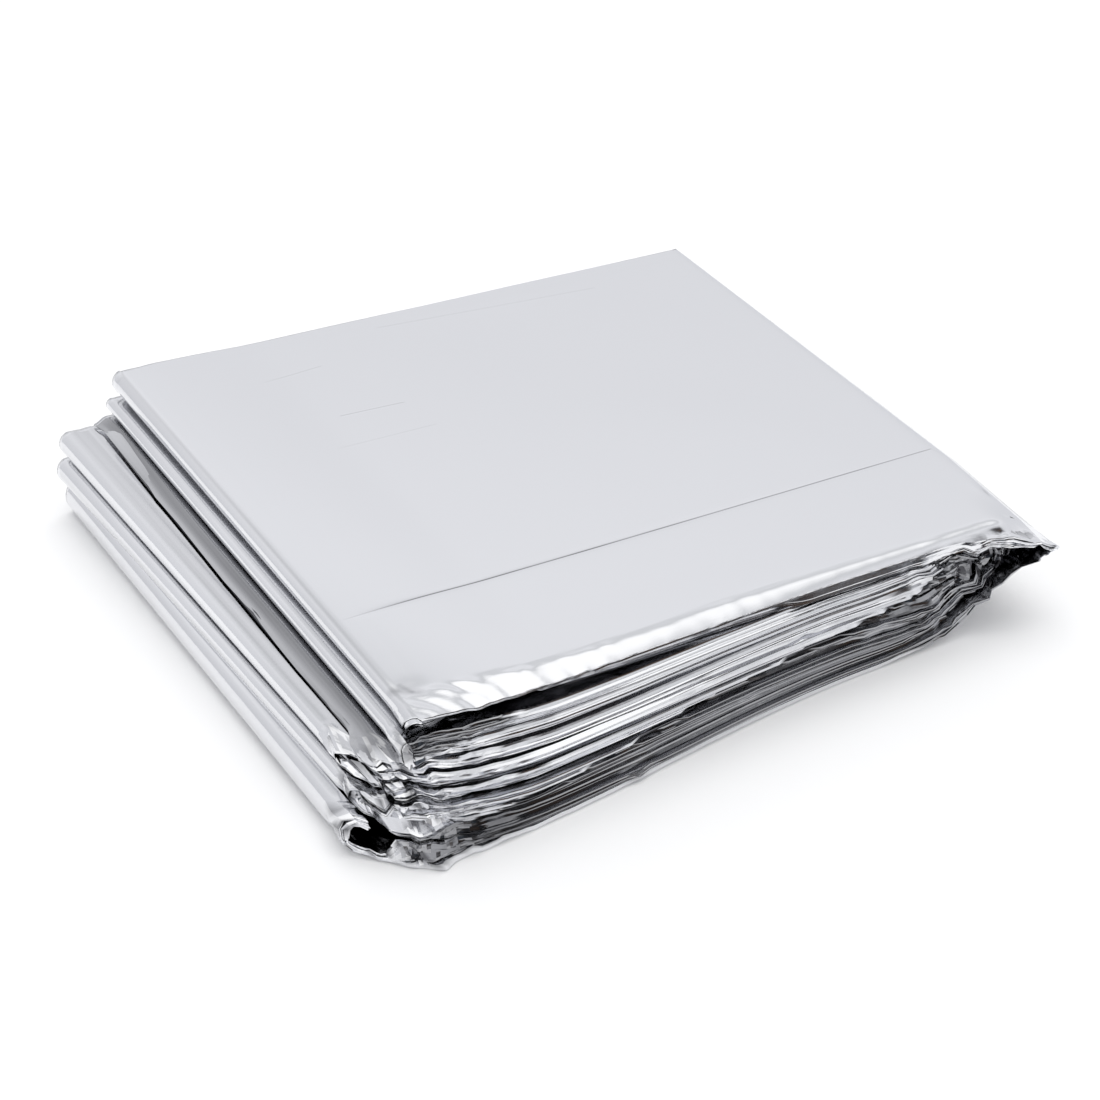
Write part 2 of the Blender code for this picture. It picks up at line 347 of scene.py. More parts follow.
# Rows of the strip's outermost round: the top, the floor and the turn between them
OUTER_LAYERS = (TOP_LAYER, FLOOR_LAYER)
OUTERMOST = np.isin(strip.first, OUTER_LAYERS) & np.isin(strip.second, OUTER_LAYERS)


def mixed(before, after):
    """A value of the layer before each row and one of the layer after it, by the row's share."""
    return before * (1 - strip.share) + after * strip.share


def edge_of(layer, x):
    left, right, chamfer, _ = np.array(EDGES)[layer].T
    share = rise(x, EDGE_LEFT_X, EDGE_RIGHT_X - EDGE_LEFT_X)
    cut = unit((CHAMFER_START_X - x) / CHAMFER_LENGTH)
    return left + (right - left) * share + chamfer * cut ** CHAMFER_CURVE


def front_base():
    """Front edge of each row, as in the solid."""
    front = mixed(edge_of(strip.first, strip.x), edge_of(strip.second, strip.x))
    tip = unit((strip.x - TIP_START_X) / (TURN_X[0] - TIP_START_X))
    return front - np.where(OUTERMOST, TIP_FORWARD * tip * tip, 0.0)


FRONT = front_base()
LAYER_BACK = np.array(EDGES)[:, 3]
BACK = mixed(LAYER_BACK[strip.first], LAYER_BACK[strip.second])

# The ply that shows at each layer's left end, and the lip or end that covers the layer there, under which
# the layer is painted in shade
LAST = PLIES - 1
SHOWN_PLY = np.array([0, 0, 0, 0, 0, LAST, LAST, LAST, LAST, 0])
COVERS = {1: ("upper_1", 1.0), 2: ("upper_1", -0.8), 3: ("upper_2", 1.0), 4: ("upper_2", -3.2),
          5: ("inner_end", 0.5), 6: ("lower_1", 1.0), 7: ("lower_1", -0.7), 8: ("lower_2", 1.0)}
MOST_ROOM = 4.2
# Room of a fold or a turn beyond the solid's own, outside and inside
OUTER_SLACK = 0.12
INNER_SLACK = 0.2


def slot_room():
    """Room above and below the middle of each layer at the front edge, up to its neighbours."""
    spans = {}
    for layer in range(FLOOR_LAYER + 1):
        rows = np.flatnonzero(strip.flat & (strip.first == layer))
        rows = rows[np.argsort(strip.x[rows])]
        spans[layer] = (strip.x[rows], strip.lines[1][rows, 1])
    above = strip.half.copy()
    below = strip.half.copy()
    partners = ((0, 1), (2, 3), (5, 6), (7, 8))
    for layer, (x, _) in spans.items():
        rows = np.flatnonzero(strip.flat & (strip.first == layer))
        here = strip.x[rows]
        own = strip.lines[1][rows, 1]
        for other, room, sign in ((layer - 1, above, 1.0), (layer + 1, below, -1.0)):
            if other not in spans:
                continue
            there = np.interp(here, *spans[other])
            gap = np.clip(sign * (there - own) / 2, strip.half[rows], MOST_ROOM)
            joined = (min(layer, other), max(layer, other)) in partners
            near = 1.0 if joined else rise(here - x.min(), 0.2, 2.6)
            present = 1.0 if joined else rise(here, spans[other][0].min(), 3.0)
            room[rows] += (gap - strip.half[rows]) * near * present
    return above, below


def fold_radius():
    """Radius of the left fold that each row lies in, or 0, and 1 where its outside is the first ply."""
    radius = np.zeros(strip.count)
    outward = np.ones(strip.count)
    for layer, name in FOLD_AFTER.items():
        rows = ~strip.flat & (strip.first == layer)
        radius[rows] = fold_shape(name, 0.0)[3]
        outward[rows] = 1.0 if name.startswith("upper") else -1.0
    return radius, outward


ABOVE, BELOW = slot_room()
RADIUS, OUTWARD = fold_radius()
NORMAL = strip.at(FRONT)[1]
UPWARD = NORMAL[:, 1] > 0
INNER_ROOM = np.where(RADIUS > 0, RADIUS * FILL, strip.half + INNER_SLACK)
OUTER_ROOM = strip.half + OUTER_SLACK
PLUS_ROOM = np.where(strip.flat, np.where(UPWARD, ABOVE, BELOW),
                     np.where(OUTWARD > 0, OUTER_ROOM, INNER_ROOM))
MINUS_ROOM = np.where(strip.flat, np.where(UPWARD, BELOW, ABOVE),
                      np.where(OUTWARD > 0, INNER_ROOM, OUTER_ROOM))


def fill_turns():
    """Open the right turns' front edges up to half way to the turns around and within each."""
    ends = list(TURN_X) + [TURN_X[-1] - 2.0 * TIGHT_PITCH]
    for lap in range(len(TURN_X)):
        rows = ~strip.flat & (RADIUS == 0) & np.isin(strip.first, (lap, FLOOR_LAYER - lap))
        across, upright = abs(NORMAL[rows].T)
        inward = upright * TIGHT_PITCH / 2 + across * (ends[lap] - ends[lap + 1]) / 2
        outward = OUTER_ROOM[rows]
        if lap > 0:
            outward = upright * TIGHT_PITCH / 2 + across * (ends[lap - 1] - ends[lap]) / 2
        starts_above = strip.first[np.flatnonzero(rows)[0]] <= 4
        rooms = (outward, inward) if starts_above else (inward, outward)
        PLUS_ROOM[rows], MINUS_ROOM[rows] = rooms


fill_turns()
# Gap between neighbouring fold edges at the front
GAP = 0.06

# Upper limit of the dark, gunmetal third of the front: x and height. The fold edges below it tilt to mirror
# the dark window, and are also painted dark as a painted reflection
DARK_THIRD = ((-8.0, 4.0, 14.0, 30.0, 43.0, 59.0, 95.0, 112.0, 126.0),
              (6.5, 6.6, 5.6, 6.1, 7.7, 9.2, 11.2, 14.0, 19.0))
DARK_BAND_HEIGHT = 1.1
# Lower limit of the black stripe under the rim, and the grey flap at its left end: x and height. The stripe
# is a recess painted black as painted shade, and the flap is painted grey as painted shade
STRIPE_FLOOR = ((6.0, 10.0, 14.0, 20.0, 28.0, 48.0, 64.0, 73.0),
                (25.2, 23.6, 22.0, 20.3, 19.7, 21.3, 21.9, 24.4))
FLAP_TOP = ((0.0, 4.5, 14.0, 25.0), (24.2, 25.4, 21.9, 18.6))
FLAP_FLOOR = 18.9
LIMIT_BLUR = 0.4
# Angles in degrees at which the fold edges look up, by what they mirror
TILT = {"bright": 49.0, "metal": 26.0, "band": 25.0, "flap": 28.0, "floor": 6.0, "least": 4.0, "most": 68.0}
# How far the edges below the rim are pressed down, along the front: x and depth
PRESS_DOWN = ((3.0, 8.0, 14.0, 30.0, 46.0, 66.0, 90.0), (0.0, 0.6, 1.5, 1.9, 1.6, 0.7, 0.0))
PRESS_DEPTH = 12.0
# Places along the front where the film's edges are crumpled: x, height, reach along and up, and size
KNOTS = ((45.0, 2.6, 2.2, 2.2, 1.0), (59.0, 12.6, 2.6, 1.0, 0.5), (84.0, 13.6, 3.4, 1.3, 0.7),
         (71.0, 5.6, 4.0, 1.2, 0.4), (100.0, 8.6, 5.0, 1.5, 0.5), (23.0, 21.5, 3.0, 1.0, 0.5))
CALM_FROM_X = 34.0
CALM_TO_X = 94.0


def random_table(seed, low, high):
    """One value for each fold edge of each layer, from the top down."""
    return np.random.default_rng(seed).uniform(low, high, (FLOOR_LAYER + 1, NOSES))


def edge_shares():
    """Share of its layer's height that each fold edge takes, from the top down."""
    table = random_table(11, 0.55, 1.5)
    table[1] = (0.25, 1.6, 1.3, 0.8, 0.9)
    table[FLOOR_LAYER, NOSES - 1] = 2.2
    return table / table.sum(axis=1)[:, None]


def corner_shares():
    """The same shares at the left corner, where one fold edge spreads over most of its layer."""
    table = np.full((FLOOR_LAYER + 1, NOSES), 0.06)
    for layer, widest in ((1, 2), (2, 1), (3, 3), (4, 2), (5, 1), (6, 3), (7, 1), (8, 2)):
        table[layer, widest] = 0.76
    table[FLOOR_LAYER] = (0.2, 0.3, 0.1, 0.1, 0.3)
    return table


EDGE_SHARE = edge_shares()
CORNER_SHARE = corner_shares()
EDGE_OUT = random_table(12, -0.4, 0.4)
EDGE_TONE = random_table(13, -1.0, 1.0)
EDGE_CRUMPLE = random_table(14, 0.4, 1.3)
# How far each layer's front edge stands out at the left corner
CORNER_OUT = np.repeat([[0.0], [0.0], [0.0], [-0.6], [-2.2], [-2.6], [-1.0], [0.0], [0.3], [1.0]], NOSES, 1)


def by_edge(nose, table):
    """The value of one fold edge in every row, softly mixed where the strip turns."""
    facing_up = np.array([STRIP_ORDER.index(layer) % 2 == 0 for layer in range(FLOOR_LAYER + 1)])
    value = np.where(facing_up, table[:, nose], table[:, NOSES - 1 - nose])
    return mixed(value[strip.first], value[strip.second])


def ply_offset(ply):
    """Offset of a ply from the strip's middle line. The plies between the two outer ones lie closer."""
    if ply in (0, LAST):
        return strip.half * FILL * (1.0 if ply == 0 else -1.0)
    return strip.half * INNER_FILL * (1.0 - 2.0 * (ply - 1) / (PLIES - 3))


def back_offset(ply):
    """Offset of a ply at the back edge, where the plies are opened out to fill their room."""
    room = PLUS_ROOM + MINUS_ROOM
    filled = (PLUS_ROOM - room * BACK_SHARES[ply]) * BACK_FILL
    outermost = ply_offset(ply) if ply in (0, LAST) else filled
    return np.where(OUTERMOST | (RADIUS > 0), outermost, filled)


def share_of(nose):
    in_corner = rise(strip.x, 8.0, -6.0)
    return by_edge(nose, EDGE_SHARE) * (1.0 - in_corner) + by_edge(nose, CORNER_SHARE) * in_corner


def nose_offset(nose, outer):
    """Offset of the outer or the inner side of a fold edge, opened out to fill its room."""
    before = sum((share_of(k) for k in range(nose)), np.zeros(strip.count))
    after = before + share_of(nose)
    room = PLUS_ROOM + MINUS_ROOM
    return PLUS_ROOM - room * before - GAP / 2 if outer else PLUS_ROOM - room * after + GAP / 2


def nose_height(nose):
    """Height above the floor of one fold edge at the front, by row."""
    middle = (nose_offset(nose, True) + nose_offset(nose, False)) / 2
    return strip.lines[1][:, 1] + NORMAL[:, 1] * middle


def pressed_height(nose):
    """The same height with the edges pressed down under the rim."""
    return nose_height(nose) - np.interp(strip.x, *PRESS_DOWN) * (strip.first > 0)


def past_limit(z, limit, width=LIMIT_BLUR):
    """Soft mask of the heights over a limit, or under it where the width is negative."""
    return smooth((z - limit) / width + 0.5)


def in_stripe(x, z):
    """How far a place at the front lies in the black stripe under the rim."""
    return past_limit(z, np.interp(x, *STRIPE_FLOOR)) * rise(x, 6.0, 4.0) * rise(x, 74.0, -5.0)


def in_flap(x, z):
    """How far a place at the front lies in the grey flap at the stripe's left end."""
    share = past_limit(z, np.interp(x, *FLAP_TOP), -LIMIT_BLUR) * past_limit(z, FLAP_FLOOR)
    return share * rise(x, -0.5, 2.0) * rise(x, 25.0, -3.0)


def dark_depth(nose):
    """How far a fold edge lies below the upper limit of the dark third."""
    return np.interp(strip.x, *DARK_THIRD) - nose_height(nose)


def in_dark_band(nose):
    """Rows in which a fold edge lies in the black line along the dark third's upper limit."""
    depth = dark_depth(nose)
    return (depth > 0) & (depth < DARK_BAND_HEIGHT)


def add_knots(value, x, z, strength):
    """The value, higher at the crumpled places along the front."""
    for knot_x, knot_z, along, up, size in KNOTS:
        value = value + strength * size * np.exp(-((x - knot_x) / along) ** 2 - ((z - knot_z) / up) ** 2)
    return value


def kinks_of(edge, step, cell, seed, spread=5.0):
    """Random kinks along one fold edge."""
    return crumple(strip.path, np.full(strip.count, edge * step), cell, spread, seed)


def unrest(nose):
    """How crumpled a fold edge is: most at the left corner, least in the middle."""
    left = 0.05 + 0.95 * unit((CALM_FROM_X - strip.x) / 30.0) ** 1.8
    right = 0.6 * rise(strip.x, CALM_TO_X, 34.0)
    return add_knots((left + right) * by_edge(nose, EDGE_CRUMPLE), strip.x, nose_height(nose), 1.0)


def protrusion(nose):
    """How far one fold edge of the film stands out from the strip's front edge, by row."""
    x = strip.x
    steady = 0.4 * wander(strip.path, 47.0, 40 + nose)
    kinks = 0.6 * kinks_of(nose, 3.3, 3.1, 45 + nose)
    kinks = kinks + 0.25 * kinks_of(nose, 2.3, 1.3, 65 + nose)
    out = steady + by_edge(nose, EDGE_OUT) + kinks * unrest(nose)
    out = out + by_edge(nose, CORNER_OUT) * rise(x, 9.0, -9.0)
    out = out - 0.9 * in_dark_band(nose) * rise(x, 22.0, 12.0)
    middle = (nose_offset(nose, True) + nose_offset(nose, False)) / 2
    cone = 1.4 * (1.0 - abs(RADIUS + OUTWARD * middle) / (RADIUS + strip.half))
    out = out + np.where(RADIUS > 0, cone, 0.0)
    out = out - 1.6 * rise(x, 110.0, 16.0) * ~OUTERMOST
    out = out - 2.8 * in_stripe(x, pressed_height(nose)) * ~IN_TOP
    recess = 5.2 * (1.0 - rise(x, 60.0, 26.0)) * rise(x, 4.0, 16.0)
    if nose == 0:
        return np.where(IN_TOP, 0.12 * steady, out)
    return np.where(IN_TOP, -recess + 0.3 * out, out)


def back_protrusion(nose):
    """How far one fold edge stands out from the strip's back edge, by row."""
    steady = 0.4 * wander(strip.path, 47.0, 80 + nose)
    kinks = 0.6 * kinks_of(nose, 3.3, 3.1, 85 + nose)
    return 0.8 * (steady + kinks * (0.05 + 0.6 * rise(strip.x, 20.0, -20.0)))


def tilt(nose):
    """How steeply the face of a fold edge looks up, by row, in degrees."""
    x = strip.x
    tone = by_edge(nose, EDGE_TONE)
    depth = dark_depth(nose)
    bright = TILT["bright"] + 10.0 * tone - 17.0 * rise(x, 96.0, 24.0)
    metal = TILT["metal"] + 4.0 * tone + rise(x, 52.0, 14.0) * (3.0 + 5.0 * tone)
    dark = np.where(depth < DARK_BAND_HEIGHT, TILT["band"], metal)
    angle = bright + (dark - bright) * rise(depth, -0.15, 0.3)
    flap = in_flap(x, pressed_height(nose))
    angle = angle + (TILT["flap"] - angle) * flap
    by_floor = (strip.first == FLOOR_LAYER) & (nose == 0)
    angle = np.where(by_floor, TILT["floor"], angle)
    slow = 3.0 * wander(strip.path, 41.0, 90 + nose)
    kinks = 34.0 * kinks_of(nose, 2.0, 3.4, 96 + nose)
    kinks = kinks * unrest(nose) * (1.0 - 0.7 * rise(x, 14.0, -8.0)) * (1.0 - 0.8 * flap)
    return np.clip(angle + slow + kinks, TILT["least"], TILT["most"])


# One line of the sheet along the strip: its depth and its offset in every row, and where it lies
Column = namedtuple("Column", "y offset dense ply kind from_front from_back", defaults=(0.0, DEPTH))


# Distances from the front edge at which the plies are sampled
OUTER_STEPS = (0.5, 1.1, 1.7, 2.2, 2.8, 3.4, 4.0, 4.6, 5.1, 5.6, 6.2, 6.8, 7.5, 8.2, 9.0, 10.0, 11.0,
               12.2, 13.5, 15.0, 16.5, 18.2, 20.0, 22.0, 24.5, 27.0, 29.5, 30.8, 31.25, 31.5, 31.75,
               32.2, 33.5, 36.0, *np.arange(39.0, 120.0, 3.0), 122.0, 125.0, 127.5, 129.2, 130.2)
LIP_STEPS = (0.5, 2.2, 5.6, 9.0, 13.5, 20.0, 27.0, 36.0, 48.0, 60.0, 72.0, 84.0, 96.0, 108.0, 116.0, 122.0,
             127.5, 130.2)
COARSE_STEPS = (0.5, 2.2, 5.6, 27.0, 60.0, 96.0, 127.5, 130.2)
INNER_STEPS = (0.5, 5.6, 27.0, 127.5, 130.2)
# Distance behind the front edge over which the plies run together to their own offsets
EDGE_SETTLE = 5.0
# Share of its layer's height at which each ply lies at the back edge, from the first ply to the last
BACK_SHARES = (0.0, 0.03, 0.23, 0.27, 0.48, 0.52, 0.74, 0.77, 0.97, 1.0)
BACK_FILL = 0.9
BACK_SETTLE = 6.0
CROSS_CREASE_Y = 31.5
# The top ply's rounding at its front edge, and how far the fold edges bulge at the front and the back
TOP_LEAN = 0.25
FRONT_BULGE = 0.05
BACK_BULGE = 0.25


def columns():
    """All columns of the sheet, from the free back edge of the outer ply to that of the inner ply."""
    made = []
    backs = [back_protrusion(nose) for nose in range(NOSES + 1)]
    for ply in range(PLIES):
        nose = ply // 2
        outer_side = ply % 2 == 0
        front = FRONT - protrusion(nose)
        back = BACK + backs[(ply + 1) // 2]
        high = nose_offset(nose, True)
        low = nose_offset(nose, False)
        lean = np.tan(np.radians(tilt(nose))) * (high - low)
        if nose == 0:
            lean = np.where(IN_TOP, TOP_LEAN, lean)
        outer_behind = lean * unit(np.maximum(NORMAL[:, 1], -NORMAL[:, 0]))
        inner_behind = lean * unit(np.maximum(-NORMAL[:, 1], NORMAL[:, 0]))
        behind = outer_behind if outer_side else inner_behind
        steps = OUTER_STEPS if ply in (0, LAST) else INNER_STEPS
        inside = ply_offset(ply)
        at_back = back_offset(ply)
        opened = high if outer_side else low
        if ply == 0:
            opened = np.where(IN_TOP, inside, opened)
        for distance in steps[::-1] if outer_side else steps:
            share = distance / DEPTH
            y = front + behind + (back - front - behind) * share
            top_y = distance + front * (1 - smooth(distance / 25.0))
            top_y = top_y + (back - DEPTH) * rise(distance, 100.0, 31.0)
            y = np.where(IN_TOP, top_y, y)
            near = 1.0 - rise(distance, 0.5, EDGE_SETTLE)
            near_back = 1.0 - rise(DEPTH - distance, 0.5, BACK_SETTLE)
            offset = inside + (opened - inside) * near + (at_back - inside) * near_back
            dense = 0 if distance in COARSE_STEPS else (1 if distance in LIP_STEPS else 2)
            made.append(Column(y, offset, dense, ply, "ply", distance, DEPTH - distance))
        if outer_side:
            middle = (outer_behind + inner_behind) / 2 + FRONT_BULGE
            for behind, at in ((outer_behind, opened), (middle, (opened + low) / 2), (inner_behind, low)):
                made.append(Column(front + behind, at, 0, ply, "front"))
        elif ply < LAST:
            step = back_offset(ply + 1) - at_back
            for share in (0.2, 0.8):
                made.append(Column(back + BACK_BULGE, at_back + step * share, 0, ply, "back", DEPTH, 0.0))
    return made


# Crease of the turned-down rim along the front: x and y
RIM_CREASE = ((4.0, 9.5, 28.0, 51.0, 67.0, 98.0, 121.0), (9.0, 7.8, 5.7, 5.3, 6.4, 6.0, 5.5))
# How crumpled the rim is along the front: x and height of the facets
RIM_CRUMPLE = ((4.0, 12.0, 34.0, 44.0, 52.0, 60.0, 66.0, 72.0, 82.0, 110.0, 124.0),
               (0.20, 0.24, 0.20, 0.12, 0.05, 0.05, 0.20, 0.06, 0.04, 0.06, 0.2))
# How far the ply below the top one lies under it
TOP_PLY_GAP = 0.22
# Dent behind the rim at the left
DIMPLE = {"x": 6.6, "y": 9.0, "reach_x": 2.6, "reach_y": 2.0, "depth": 0.18}


def top_relief(x, y, outer_ply):
    """Height of the top panel's creases, rim and soft waves. The plies below it stay plain and lower."""
    front = edge_of(np.zeros(len(x), int), x)
    rim = np.interp(x, *RIM_CREASE)
    near = np.clip((rim - y) / np.maximum(rim - front, 1.0), 0.0, 1.2)
    from_left = rise(x, RIM_START_X, RIM_FULL_X - RIM_START_X)
    drop = RIM_DROP * near ** 1.6 * from_left
    drop = drop + 0.10 * np.exp(-((y - rim) / 0.35) ** 2) * rise(x, 14.0, 10.0)
    facets = crumple(x + 0.4 * y, y, 2.1, 4.0, 71) + 0.5 * crumple(x - 0.3 * y, y, 1.5, 3.0, 72)
    facets = facets * np.interp(x, *RIM_CRUMPLE) * rise(y, rim + 0.6, -1.8) * rise(x, 3.0, 4.0)
    dimple = DIMPLE["depth"] * np.exp(-((x - DIMPLE["x"]) / DIMPLE["reach_x"]) ** 2
                                      - ((y - DIMPLE["y"]) / DIMPLE["reach_y"]) ** 2)
    across = rise(x, 4.0, 12.0) * (1.0 - 0.6 * rise(x, 60.0, 60.0)) * rise(x, 134.0, -8.0)
    groove = 0.05 * unit(1.0 - abs(y - CROSS_CREASE_Y) / 0.5) * across
    flap = 0.10 * unit(1.0 - (y - rim) / (CROSS_CREASE_Y - rim)) * across
    waves = 0.10 * wander(x + 0.5 * y, 34.0, 7) * wander(y, 29.0, 8) + 0.06 * wander(x - 0.4 * y, 21.0, 9)
    within = rise(x, 8.0, 20.0) * rise(x, 125.0, -20.0) * rise(y, 8.0, 10.0) * rise(y, 128.0, -10.0)
    if not outer_ply:
        return -drop - dimple - TOP_PLY_GAP
    return -drop - groove - dimple + flap + waves * within + facets


def pressed_down(x, z, from_front):
    """Downward shift of the layers' front edges under the rim. It keeps their order."""
    top = top_z(x, 0.0)
    lower = rise(z, 5.0, top - 5.4 - 5.0)
    upper = rise(z, top - 1.9, -2.6)
    return np.interp(x, *PRESS_DOWN) * lower * upper * (1.0 - smooth(from_front / PRESS_DEPTH))


def lip_relief(y):
    """Fine lengthwise creases of the lips at the left, by row."""
    path = strip.path
    deep = 1.0 + 0.5 * rise(y, 28.0, -28.0)
    fine = 0.045 * wander(path + 0.004 * y, 0.5, 31) + 0.075 * wander(path - 0.003 * y, 1.2, 32)
    slow = 0.7 + 0.3 * wander(y + 3.0 * strip.first, 38.0, 33)
    return (fine - 0.12) * slow * deep * rise(strip.x, 12.0, -8.0) * rise(y, 3.0, 6.0)


def ragged_end(y):
    """How far the inner end's edge is torn back, by depth: most towards the back."""
    ragged = 0.25 * crumple(y, np.zeros(len(y)), 3.0, 5.0, 35)
    torn = 1.5 * crumple(y, np.zeros(len(y)), 5.2, 5.0, 36) * rise(y, 88.0, 14.0)
    return ragged + torn


def place_columns(made):
    """World points by row and column, in millimetres."""
    points = np.zeros((strip.count, len(made), 3))
    to_end = strip.path
    taper = 0.1 + 0.9 * smooth(to_end / 2.6)
    for index, column in enumerate(made):
        centre, normal = strip.at(column.y)
        offset = column.offset * taper - 1.2 * strip.half * (1.0 - taper)
        if column.ply in (0, LAST):
            relief = lip_relief(column.y) * rise(column.from_front, 1.0, 4.0)
            relief = relief * np.where(IN_TOP, 0.4, 1.0) * taper ** 3
            offset = offset + (relief if column.ply == 0 else -relief)
        x = centre[:, 0] + normal[:, 0] * offset
        z = centre[:, 1] + normal[:, 1] * offset
        x = x + ragged_end(column.y) * unit(1.0 - to_end / 7.0)
        z = z + top_relief(x, column.y, column.ply == 0) * IN_TOP
        z = z - pressed_down(x, z, column.from_front) * ~IN_TOP
        z = z - corner_fall(x, z, column.from_front)
        point = np.stack([x, column.y, z], axis=1)
        point = np.where(OUTERMOST[:, None], tip_fold(point), point)
        shown = SHOWN_PLY[strip.first] == column.ply
        weight = crumple_weight(point) * edge_fade(column.from_front, shown)
        points[:, index] = point + facets(point) * weight[:, None]
        points[:, index, 2] = np.maximum(points[:, index, 2], LEAST_HEIGHT)
    return points


def corner_fall(x, z, from_front):
    """How far the lower lips' front left corner slopes down. It keeps the layers' order."""
    along = rise(from_front, 6.5, -6.5) * rise(x, 6.0, -4.0)
    return 2.0 * along * rise(z, 12.0, 4.5) * rise(z, 21.5, -3.0)


TIP = {"z": 17.2, "top_from_x": 130.0, "floor_from_x": 118.0, "end_x": 139.5, "depth": 17.0,
       "reach": 2.4, "flat": 0.96}


def tip_fold(point):
    """The outermost turn pressed flat to a pointed tip at its front."""
    x, y, z = point.T
    start = np.where(z > TIP["z"], TIP["top_from_x"], TIP["floor_from_x"])
    share = rise(x, start, TIP["end_x"] - start) * rise(y, TIP["depth"], -TIP["depth"])
    flat = TIP["flat"] * (0.78 + 0.22 * rise(x, 131.0, 5.0))
    moved = [x + TIP["reach"] * share * rise(x, 130.0, 8.0), y, z + (TIP["z"] - z) * flat * share]
    return np.stack(moved, axis=1)


def edge_fade(from_front, shown):
    """How far behind the front edge the crumpling reaches: less far in the hidden plies."""
    return np.where(shown, rise(from_front, 8.5, -6.0), rise(from_front, 5.4, -4.6))


def crumple_weight(point):
    """How strongly the film is crumpled at one place near the front: the corners and the knots."""
    x, _, z = point.T
    reach = 9.0 + 8.0 * rise(z, 13.0, -6.0)
    weight = rise(x, reach, -reach) * rise(z, -0.5, 2.5) * rise(z, 19.5, -3.0)
    weight = weight + 0.5 * rise(x, 6.0, -4.0) * rise(z, 19.0, 2.0) * rise(z, 26.4, -1.5)
    weight = weight + 0.7 * rise(x, 104.0, 22.0) * rise(z, 22.5, -3.0) * rise(z, 2.0, 3.0)
    return add_knots(weight, x, z, 0.5)


def facets(point):
    """Shift to the crumpled shape, the same for all plies at one place."""
    x, y, z = point.T
    shift = [size * crumple(x - 0.6 * y, z + 0.3 * x, 3.4, 3.0, seed)
             + 0.3 * size * crumple(x - 0.6 * y, z - 0.4 * x, 1.3, 1.2, seed + 10)
             for size, seed in ((0.9, 301), (1.5, 302), (0.9, 303))]
    return np.stack(shift, axis=1)


def facet_painted_reflection(point, from_front):
    """Painted dark reflection on the crumpled facets, by row: some of them are painted as mirroring the
    dark inside of the folds.
    """
    x, y, z = point.T
    dark = crumple(x - 0.6 * y, z + 0.3 * x, 2.4, 2.0, 305) + 0.4 * crumple(x, z - 0.4 * x, 1.2, 1.1, 306)
    weight = np.minimum(crumple_weight(point), 1.0) * edge_fade(from_front, True)
    return np.clip(2.4 * dark - 0.1, 0.0, 0.88) * weight


def sampling(made):
    """The columns that are used in each row: all of them on the top, fewer elsewhere."""
    dense, ply, from_front = np.array([(c.dense, c.ply, c.from_front) for c in made]).T
    used = []
    for row in range(strip.count):
        shown = ply == SHOWN_PLY[strip.first[row]]
        keep = dense == 0
        if IN_TOP[row]:
            keep = keep | shown
        elif strip.x[row] < LIPS_TO_X:
            keep = keep | (shown & (dense < 2))
            if strip.x[row] < CORNER_TO_X:
                keep = keep | (shown & (from_front < CORNER_DEPTH))
        used.append(np.flatnonzero(keep))
    return used


def quads_and_fans(here, there, index, row):
    """Faces between two rows. The one with fewer columns is fanned out to the other."""
    if len(here) == len(there):
        return [(index[row, a], index[row, b], index[row + 1, b], index[row + 1, a])
                for a, b in zip(here[:-1], here[1:])]
    coarse_row, fine_row = (row, row + 1) if len(here) < len(there) else (row + 1, row)
    coarse, fine_all = (here, there) if len(here) < len(there) else (there, here)
    faces = []
    for a, b in zip(coarse[:-1], coarse[1:]):
        fine = [index[fine_row, c] for c in fine_all if a <= c <= b]
        half = len(fine) // 2
        fans = [(index[coarse_row, a], fine[k + 1], fine[k]) for k in range(half)]
        fans.append((index[coarse_row, a], index[coarse_row, b], fine[half]))
        fans += [(index[coarse_row, b], fine[k + 1], fine[k]) for k in range(half, len(fine) - 1)]
        faces += [face[::-1] if coarse_row == row + 1 else face for face in fans]
    return faces


def cover_x(layer, y):
    """Where the next lip or the inner end starts to cover a layer, moved by its shift, by depth: the start
    of the painted shade under it.
    """
    name, shift = COVERS[layer]
    if name == "inner_end":
        return along_depth(INNER_END["x"], y) + shift
    return fold_shape(name, y)[0] - FOLD_THICKNESS / 2 + shift


# How dark the film's colour is painted at each kind of place: painted shade in the folds, recesses and
# hollows, with painted glints in the turns, and painted dark reflections on the lower third and the facets
PAINTED_DARK = {"stripe": 0.94, "flap": 0.6, "band": 0.88, "third": 0.6, "third_left": 0.22, "top_edges": 0.9,
        "right": 0.55, "turn": 0.78, "tip": 0.9, "facets": 0.8, "lips": 0.5}
VALLEY_LAYER = 4


